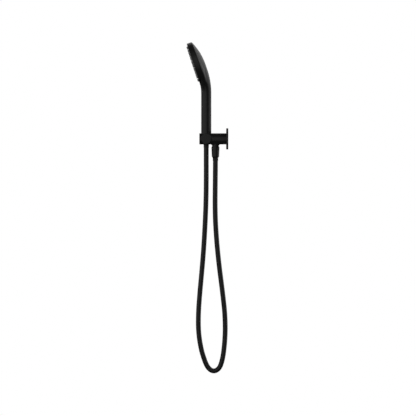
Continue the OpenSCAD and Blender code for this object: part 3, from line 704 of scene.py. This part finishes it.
NUT_BORE_R, NUT_CHAMFER = 10.53, 0.5
STEM_R = 5.55        # the ferrules' holes, around the hose's brass stems
CRIMP_UP = (6.2, 3.6)   # the crimp rings' heights above the ferrule's end
CRIMP_IN = 0.28


def conical_nut(name, node, axes, body, end_r, top_z, end_z, shoulder_z, hole_r, chamfer, chamfer_r):
    """A hose nut that narrows towards the hose, with its bore from the top down to a shoulder."""
    outline = rounded([
        (NUT_BORE_R, shoulder_z), (NUT_BORE_R, top_z, 0.15), (NUT_TOP_R - NUT_CHAMFER, top_z, 0.1),
        (NUT_TOP_R, top_z - NUT_CHAMFER, 0.25), (end_r, end_z + chamfer, 0.8), (chamfer_r, end_z, 0.3),
        (hole_r, end_z, 0.1), (hole_r, shoulder_z),
    ], 6)
    nut = turned(name, outline, axes, 128)
    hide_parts(node)
    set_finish(nut, "matte_black_paint")
    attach(nut, body)


def crimped(name, node, axes, body, r, top_z, end_z):
    """A ferrule with a rounded lower edge and two shallow crimp rings above it."""
    corners = [(STEM_R, top_z), (r, top_z, 0.4)]
    for z in (end_z + up for up in CRIMP_UP):
        corners += [(r, z + 0.7), (r - CRIMP_IN, z + 0.3, 0.3), (r - CRIMP_IN, z - 0.3, 0.3), (r, z - 0.7)]
    corners += [(r, end_z, 0.7), (STEM_R, end_z)]
    ferrule = turned(name, rounded(corners, 6), axes, 96, smooth_angle=50)
    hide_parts(node)
    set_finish(ferrule, "matte_black_paint")
    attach(ferrule, body)


conical_nut("outlet_cone_nut", "outlet_nut", ON_OUTLET, "wall_bracket", end_r=10.25,
            top_z=-23.0, end_z=-52.7, shoulder_z=-38.7, hole_r=7.8, chamfer=2.5, chamfer_r=8.4)
conical_nut("handset_cone_nut", "handset_nut", ON_SEAT, "handset", end_r=NUT_END_R,
            top_z=11.9, end_z=NUT_END_Z, shoulder_z=-4.4, hole_r=7.63, chamfer=1.2, chamfer_r=9.2)
crimped("outlet_crimp", "outlet_ferrule", ON_OUTLET, "wall_bracket", r=7.75, top_z=-40.5, end_z=-62.0)
crimped("handset_crimp", "handset_ferrule", ON_SEAT, "hose_end", r=7.55, top_z=-6.35, end_z=-25.0)

# ---------------------------------------------------------------- valve spring

SPRING_R, SPRING_WIRE, SPRING_TURNS = 3.0, 0.4, 6   # SPRING_WIRE is the wire's own radius
CLOSED_TURNS = 0.7    # this much of a turn at each end lies flat
RINGS_PER_TURN, WIRE_SIDES = 24, 12


def make_spring():
    """The check valve's coil, with its end turns closed up."""
    low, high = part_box("check_valve_spring")
    bottom, top = low[2] / MM + SPRING_WIRE, high[2] / MM - SPRING_WIRE
    steps = RINGS_PER_TURN * SPRING_TURNS
    closed = CLOSED_TURNS / SPRING_TURNS
    rise = np.clip((np.linspace(0, 1, steps + 1) - closed) / (1 - 2 * closed), 0, 1)
    around = 2 * np.pi * np.arange(WIRE_SIDES) / WIRE_SIDES
    verts = []
    for i in range(steps + 1):
        turn = 2 * math.pi * i * SPRING_TURNS / steps
        out = SPRING_R + SPRING_WIRE * np.cos(around)
        level = bottom + (top - bottom) * rise[i] + SPRING_WIRE * np.sin(around)
        verts.append(np.stack([out * math.cos(turn), out * math.sin(turn) + OUTLET_Y, level], -1))
    faces = tube_faces(steps + 1, WIRE_SIDES)
    spring = new_object("valve_spring", np.concatenate(verts), faces, smooth_angle=60)
    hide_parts("check_valve_spring")
    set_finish(spring, "stainless")
    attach(spring, "wall_bracket")
    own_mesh(spring)


make_spring()

# ---------------------------------------------------------------- materials


def new_material(name, **constants):
    """A material with constants set on its Principled shader, its node tree and the shader."""
    material = bpy.data.materials.new(name)
    material.use_nodes = True
    tree = material.node_tree
    shader = tree.nodes["Principled BSDF"]
    for key, value in constants.items():
        shader.inputs[key.replace("_", " ")].default_value = value
    return material, tree, shader


def noise(tree, source, scale, detail, roughness=0.55):
    node = tree.nodes.new("ShaderNodeTexNoise")
    node.inputs["Scale"].default_value = scale
    node.inputs["Detail"].default_value = detail
    node.inputs["Roughness"].default_value = roughness
    tree.links.new(source, node.inputs["Vector"])
    return node.outputs["Fac"]


def spread(tree, value, low, high, from_low=0.3, from_high=0.7):
    """The value stretched to run from low to high. Noise lies mostly between 0.3 and 0.7."""
    node = tree.nodes.new("ShaderNodeMapRange")
    node.inputs["From Min"].default_value = from_low
    node.inputs["From Max"].default_value = from_high
    node.inputs["To Min"].default_value = low
    node.inputs["To Max"].default_value = high
    tree.links.new(value, node.inputs["Value"])
    return node.outputs["Result"]


def between(tree, factor, colour_a, colour_b):
    node = tree.nodes.new("ShaderNodeMix")
    node.data_type = "RGBA"
    node.inputs["A"].default_value = (*colour_a, 1)
    node.inputs["B"].default_value = (*colour_b, 1)
    tree.links.new(factor, node.inputs["Factor"])
    return node.outputs["Result"]


def calculated(tree, operation, a, b=None):
    """A math node's result, where each of its inputs is a number or another node's output."""
    node = tree.nodes.new("ShaderNodeMath")
    node.operation = operation
    for socket, value in zip(node.inputs, (a, b)):
        if isinstance(value, (int, float)):
            socket.default_value = value
        elif value is not None:
            tree.links.new(value, socket)
    return node.outputs[0]


def bumped(tree, shader, height, strength, distance):
    node = tree.nodes.new("ShaderNodeBump")
    node.inputs["Strength"].default_value = strength
    node.inputs["Distance"].default_value = distance
    tree.links.new(height, node.inputs["Height"])
    tree.links.new(node.outputs["Normal"], shader.inputs["Normal"])


def object_coords(tree):
    return tree.nodes.new("ShaderNodeTexCoord").outputs["Object"]


CLOUD = 18.0            # scale of the slow drift in colour, in waves per metre
GRAIN_DEPTH = 0.0002


def drifting_finish(name, dark, light, rough, grain, strength, **constants):
    """A finish whose colour and roughness drift over centimetres, with a fine grain of its own."""
    material, tree, shader = new_material(name, **constants)
    where = object_coords(tree)
    drift = spread(tree, noise(tree, where, CLOUD, 3.0), 0, 1)
    specks = noise(tree, where, grain * 2.3, 2.0)
    mixed = calculated(tree, "ADD", calculated(tree, "MULTIPLY", drift, 0.7),
                       calculated(tree, "MULTIPLY", specks, 0.3))
    tree.links.new(between(tree, mixed, dark, light), shader.inputs["Base Color"])
    smudge = noise(tree, where, CLOUD * 3.1, 5.0, 0.65)
    tree.links.new(spread(tree, smudge, rough[0], rough[1]), shader.inputs["Roughness"])
    bumped(tree, shader, noise(tree, where, grain, 3.0, 0.6), strength, GRAIN_DEPTH)
    return material


def grey(value, warm=0.0):
    """A grey, with a little more red and less blue if it is warm."""
    return (value + warm, value, value - warm)


SPIRAL_PITCH = 0.0042   # between the turns of the wire under the hose's skin


def hose_material():
    """Smooth black PVC over a wound core: a faint spiral, with a drifting gloss."""
    material, tree, shader = new_material("hose_pvc", Specular_IOR_Level=0.5)
    where = object_coords(tree)
    uv = tree.nodes.new("ShaderNodeUVMap")
    uv.uv_map = "along"
    parts = tree.nodes.new("ShaderNodeSeparateXYZ")
    tree.links.new(uv.outputs["UV"], parts.inputs["Vector"])
    turns = calculated(tree, "MULTIPLY", parts.outputs["X"], round(HOSE_LENGTH / SPIRAL_PITCH))
    phase = calculated(tree, "MULTIPLY", calculated(tree, "ADD", turns, parts.outputs["Y"]), 2 * math.pi)
    spiral = spread(tree, calculated(tree, "SINE", phase), 0, 1, -1, 1)
    drift = spread(tree, noise(tree, where, 26.0, 3.0), 0, 1)
    tree.links.new(between(tree, drift, grey(0.009), grey(0.014)), shader.inputs["Base Color"])
    tree.links.new(spread(tree, noise(tree, where, 90.0, 4.0, 0.65), 0.30, 0.42), shader.inputs["Roughness"])
    fine = noise(tree, where, 1400.0, 2.0)
    height = calculated(tree, "ADD", calculated(tree, "MULTIPLY", spiral, 0.8),
                        calculated(tree, "MULTIPLY", fine, 0.25))
    bumped(tree, shader, height, 0.35, 0.0001)
    return material


# slot: colour from dark to light, roughness from low to high, grain in waves per metre and its strength
MATERIALS = {
    "matte_black_paint": drifting_finish(
        "powder_black", grey(0.008), grey(0.013), (0.29, 0.38), 1500, 0.12, Specular_IOR_Level=0.5),
    "black_shell": drifting_finish(
        "satin_black_shell", grey(0.008), grey(0.013), (0.28, 0.37), 1900, 0.08, Specular_IOR_Level=0.5),
    "black_hose": hose_material(),
    "seal_rubber": drifting_finish(
        "seal_rubber", grey(0.014), grey(0.024), (0.62, 0.78), 1300, 0.3),
    "nozzle_silicone": drifting_finish(
        "nozzle_silicone", grey(0.42), grey(0.52), (0.45, 0.6), 1600, 0.15),
    "turned_brass": drifting_finish(
        "turned_brass", (0.50, 0.33, 0.12), (0.68, 0.48, 0.20), (0.24, 0.40), 1100, 0.15, Metallic=1.0),
    "white_plastic": drifting_finish(
        "natural_acetal", grey(0.70, 0.01), grey(0.80, 0.01), (0.38, 0.5), 1500, 0.1),
    "stainless": drifting_finish(
        "stainless", grey(0.50), grey(0.62), (0.22, 0.38), 1300, 0.12, Metallic=1.0),
}

slot_of = {row["node"]: row["material_slot"] for row in frame["record"]["subparts"]}
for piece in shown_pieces():
    piece.data.materials.clear()
    slot = slot_of[piece.name] if piece.name in slot_of else piece["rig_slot"]
    piece.data.materials.append(MATERIALS[slot])

# ---------------------------------------------------------------- light and floor

ROOM_LIGHT = 0.07   # the room's own light; the camera sees a white backdrop

world = bpy.data.worlds.new("studio")
scene.world = world
world.use_nodes = True
tree = world.node_tree
tree.nodes.clear()
output = tree.nodes.new("ShaderNodeOutputWorld")
mix = tree.nodes.new("ShaderNodeMixShader")
paths = tree.nodes.new("ShaderNodeLightPath")
room = tree.nodes.new("ShaderNodeBackground")
backdrop = tree.nodes.new("ShaderNodeBackground")
backdrop.inputs["Color"].default_value = (1, 1, 1, 1)
room.inputs["Color"].default_value = (1, 1, 1, 1)
room.inputs["Strength"].default_value = ROOM_LIGHT
tree.links.new(paths.outputs["Is Camera Ray"], mix.inputs[0])
tree.links.new(room.outputs[0], mix.inputs[1])
tree.links.new(backdrop.outputs[0], mix.inputs[2])
tree.links.new(mix.outputs[0], output.inputs["Surface"])


def softbox(name, at, aim, size, power):
    """A rectangular area light, in watts, that the camera doesn't see."""
    data = bpy.data.lights.new(name, "AREA")
    data.shape = "RECTANGLE"
    data.size, data.size_y = size
    data.energy = power
    obj = bpy.data.objects.new(name, data)
    scene.collection.objects.link(obj)
    obj.location = at
    obj.rotation_euler = (Vector(aim) - Vector(at)).to_track_quat("-Z", "Y").to_euler()
    obj.visible_camera = False


PANEL_REACH = 3.4    # the panels stand upright around the object, this far from its axis
# azimuths from +X towards +Y and elevations, in degrees, then radiance
PANELS = {
    "front": (-20, 8, -36, 36, 0.36),
    "front_left": (-48, -20, -12, 50, 0.42),
    "far_left": (-104, -48, -12, 50, 0.46),
    "upper_right": (42, 70, 13, 56, 0.50),
    "back_right": (70, 140, -22, 60, 0.58),
    "back": (145, 215, 4, 52, 0.52),
}
for name, (az_from, az_to, low, high, radiance) in PANELS.items():
    t = math.radians((az_from + az_to) / 2)
    width = 2 * PANEL_REACH * math.tan(math.radians((az_to - az_from) / 2))
    bottom, top = (PANEL_REACH * math.tan(math.radians(e)) for e in (low, high))
    level = VIEW_Z + (bottom + top) / 2
    at = (PANEL_REACH * math.cos(t), VIEW_Y + PANEL_REACH * math.sin(t), level)
    softbox(name, at, (0, VIEW_Y, level), (width, top - bottom), radiance * math.pi * width * (top - bottom))

# a round floor that fades out into the backdrop before its rim
FLOOR_Z, FLOOR_R = -1.0, 1.6
FADE_FROM, FADE_TO = 0.55, 0.97   # shares of the floor's radius
rings, sides = 24, 96
floor_verts = [(0, VIEW_Y, FLOOR_Z)]
for i in range(1, rings + 1):
    for k in range(sides):
        t, r = 2 * math.pi * k / sides, FLOOR_R * i / rings
        floor_verts.append((r * math.cos(t), VIEW_Y + r * math.sin(t), FLOOR_Z))
floor_faces = [(0, 1 + k, 1 + (k + 1) % sides) for k in range(sides)]
for i in range(rings - 1):
    for k in range(sides):
        m = (k + 1) % sides
        a, b = 1 + i * sides, 1 + (i + 1) * sides
        floor_faces.append((a + k, b + k, b + m, a + m))
floor_mesh = bpy.data.meshes.new("floor")
floor_mesh.from_pydata(floor_verts, [], floor_faces)
floor = bpy.data.objects.new("floor", floor_mesh)
scene.collection.objects.link(floor)
floor.visible_glossy = floor.visible_diffuse = False   # the floor's own light stays off the dark pieces
floor_material, tree, shader = new_material("pale_floor", Roughness=0.7, Base_Color=(0.9, 0.9, 0.9, 1),
                                            Emission_Color=(1, 1, 1, 1), Emission_Strength=0.5)
length = tree.nodes.new("ShaderNodeVectorMath")
length.operation = "LENGTH"
tree.links.new(object_coords(tree), length.inputs[0])
fade = tree.nodes.new("ShaderNodeMapRange")
fade.interpolation_type = "SMOOTHSTEP"
fade.inputs["From Min"].default_value = math.hypot(FLOOR_R * FADE_FROM, FLOOR_Z)
fade.inputs["From Max"].default_value = math.hypot(FLOOR_R * FADE_TO, FLOOR_Z)
fade.inputs["To Min"].default_value = 1.0
fade.inputs["To Max"].default_value = 0.0
tree.links.new(length.outputs["Value"], fade.inputs["Value"])
tree.links.new(fade.outputs["Result"], shader.inputs["Alpha"])
floor_mesh.materials.append(floor_material)

scene.view_settings.view_transform = "Standard"
